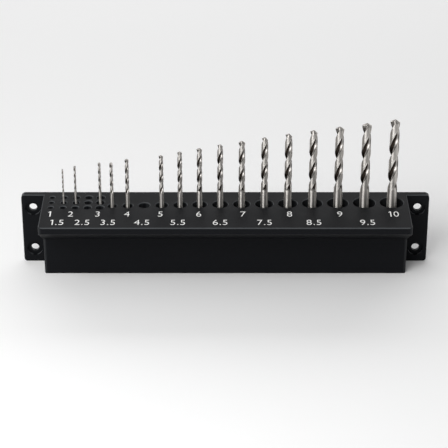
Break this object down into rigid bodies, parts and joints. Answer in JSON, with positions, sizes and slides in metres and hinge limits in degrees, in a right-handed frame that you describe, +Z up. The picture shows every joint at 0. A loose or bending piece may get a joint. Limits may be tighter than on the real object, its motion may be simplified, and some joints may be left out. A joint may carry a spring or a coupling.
{
  "type": "drill bit holder",
  "caption": "Wall-mounted holder with a row of numbered sockets, a sloped underside and screw ears, carrying a graded set of twist drill bits that lift out.",
  "frame": {"origin": "centre of the four wall screws, on the plate's rear face", "axes": "+X along the holder towards the largest socket, +Y into the wall, +Z up along the drill bits"},
  "size_m": [0.1838, 0.0345, 0.0745],
  "materials": {
    "moulded_plastic": "fine matt",
    "ground_steel": "bright ground"
  },
  "bodies": {
    "holder": {"holder": "moulded_plastic"},
    "bit_1_5": {"drill_bit_1_5": "ground_steel"},
    "bit_2": {"drill_bit_2": "ground_steel"},
    "bit_3": {"drill_bit_3": "ground_steel"},
    "bit_3_5": {"drill_bit_3_5": "ground_steel"},
    "bit_4": {"drill_bit_4": "ground_steel"},
    "bit_5": {"drill_bit_5": "ground_steel"},
    "bit_5_5": {"drill_bit_5_5": "ground_steel"},
    "bit_6": {"drill_bit_6": "ground_steel"},
    "bit_6_5": {"drill_bit_6_5": "ground_steel"},
    "bit_7": {"drill_bit_7": "ground_steel"},
    "bit_7_5": {"drill_bit_7_5": "ground_steel"},
    "bit_8": {"drill_bit_8": "ground_steel"},
    "bit_8_5": {"drill_bit_8_5": "ground_steel"},
    "bit_9": {"drill_bit_9": "ground_steel"},
    "bit_9_5": {"drill_bit_9_5": "ground_steel"},
    "bit_10": {"drill_bit_10": "ground_steel"}
  },
  "joints": [
    {"name": "lift_1_5", "type": "slide", "parent": "holder", "child": "bit_1_5", "axis": [0, 0, 1], "range_m": [0, 0.017]},
    {"name": "lift_2", "type": "slide", "parent": "holder", "child": "bit_2", "axis": [0, 0, 1], "range_m": [0, 0.017]},
    {"name": "lift_3", "type": "slide", "parent": "holder", "child": "bit_3", "axis": [0, 0, 1], "range_m": [0, 0.017]},
    {"name": "lift_3_5", "type": "slide", "parent": "holder", "child": "bit_3_5", "axis": [0, 0, 1], "range_m": [0, 0.017]},
    {"name": "lift_4", "type": "slide", "parent": "holder", "child": "bit_4", "axis": [0, 0, 1], "range_m": [0, 0.017]},
    {"name": "lift_5", "type": "slide", "parent": "holder", "child": "bit_5", "axis": [0, 0, 1], "range_m": [0, 0.017]},
    {"name": "lift_5_5", "type": "slide", "parent": "holder", "child": "bit_5_5", "axis": [0, 0, 1], "range_m": [0, 0.017]},
    {"name": "lift_6", "type": "slide", "parent": "holder", "child": "bit_6", "axis": [0, 0, 1], "range_m": [0, 0.017]},
    {"name": "lift_6_5", "type": "slide", "parent": "holder", "child": "bit_6_5", "axis": [0, 0, 1], "range_m": [0, 0.017]},
    {"name": "lift_7", "type": "slide", "parent": "holder", "child": "bit_7", "axis": [0, 0, 1], "range_m": [0, 0.017]},
    {"name": "lift_7_5", "type": "slide", "parent": "holder", "child": "bit_7_5", "axis": [0, 0, 1], "range_m": [0, 0.017]},
    {"name": "lift_8", "type": "slide", "parent": "holder", "child": "bit_8", "axis": [0, 0, 1], "range_m": [0, 0.017]},
    {"name": "lift_8_5", "type": "slide", "parent": "holder", "child": "bit_8_5", "axis": [0, 0, 1], "range_m": [0, 0.017]},
    {"name": "lift_9", "type": "slide", "parent": "holder", "child": "bit_9", "axis": [0, 0, 1], "range_m": [0, 0.017]},
    {"name": "lift_9_5", "type": "slide", "parent": "holder", "child": "bit_9_5", "axis": [0, 0, 1], "range_m": [0, 0.017]},
    {"name": "lift_10", "type": "slide", "parent": "holder", "child": "bit_10", "axis": [0, 0, 1], "range_m": [0, 0.017]}
  ]
}
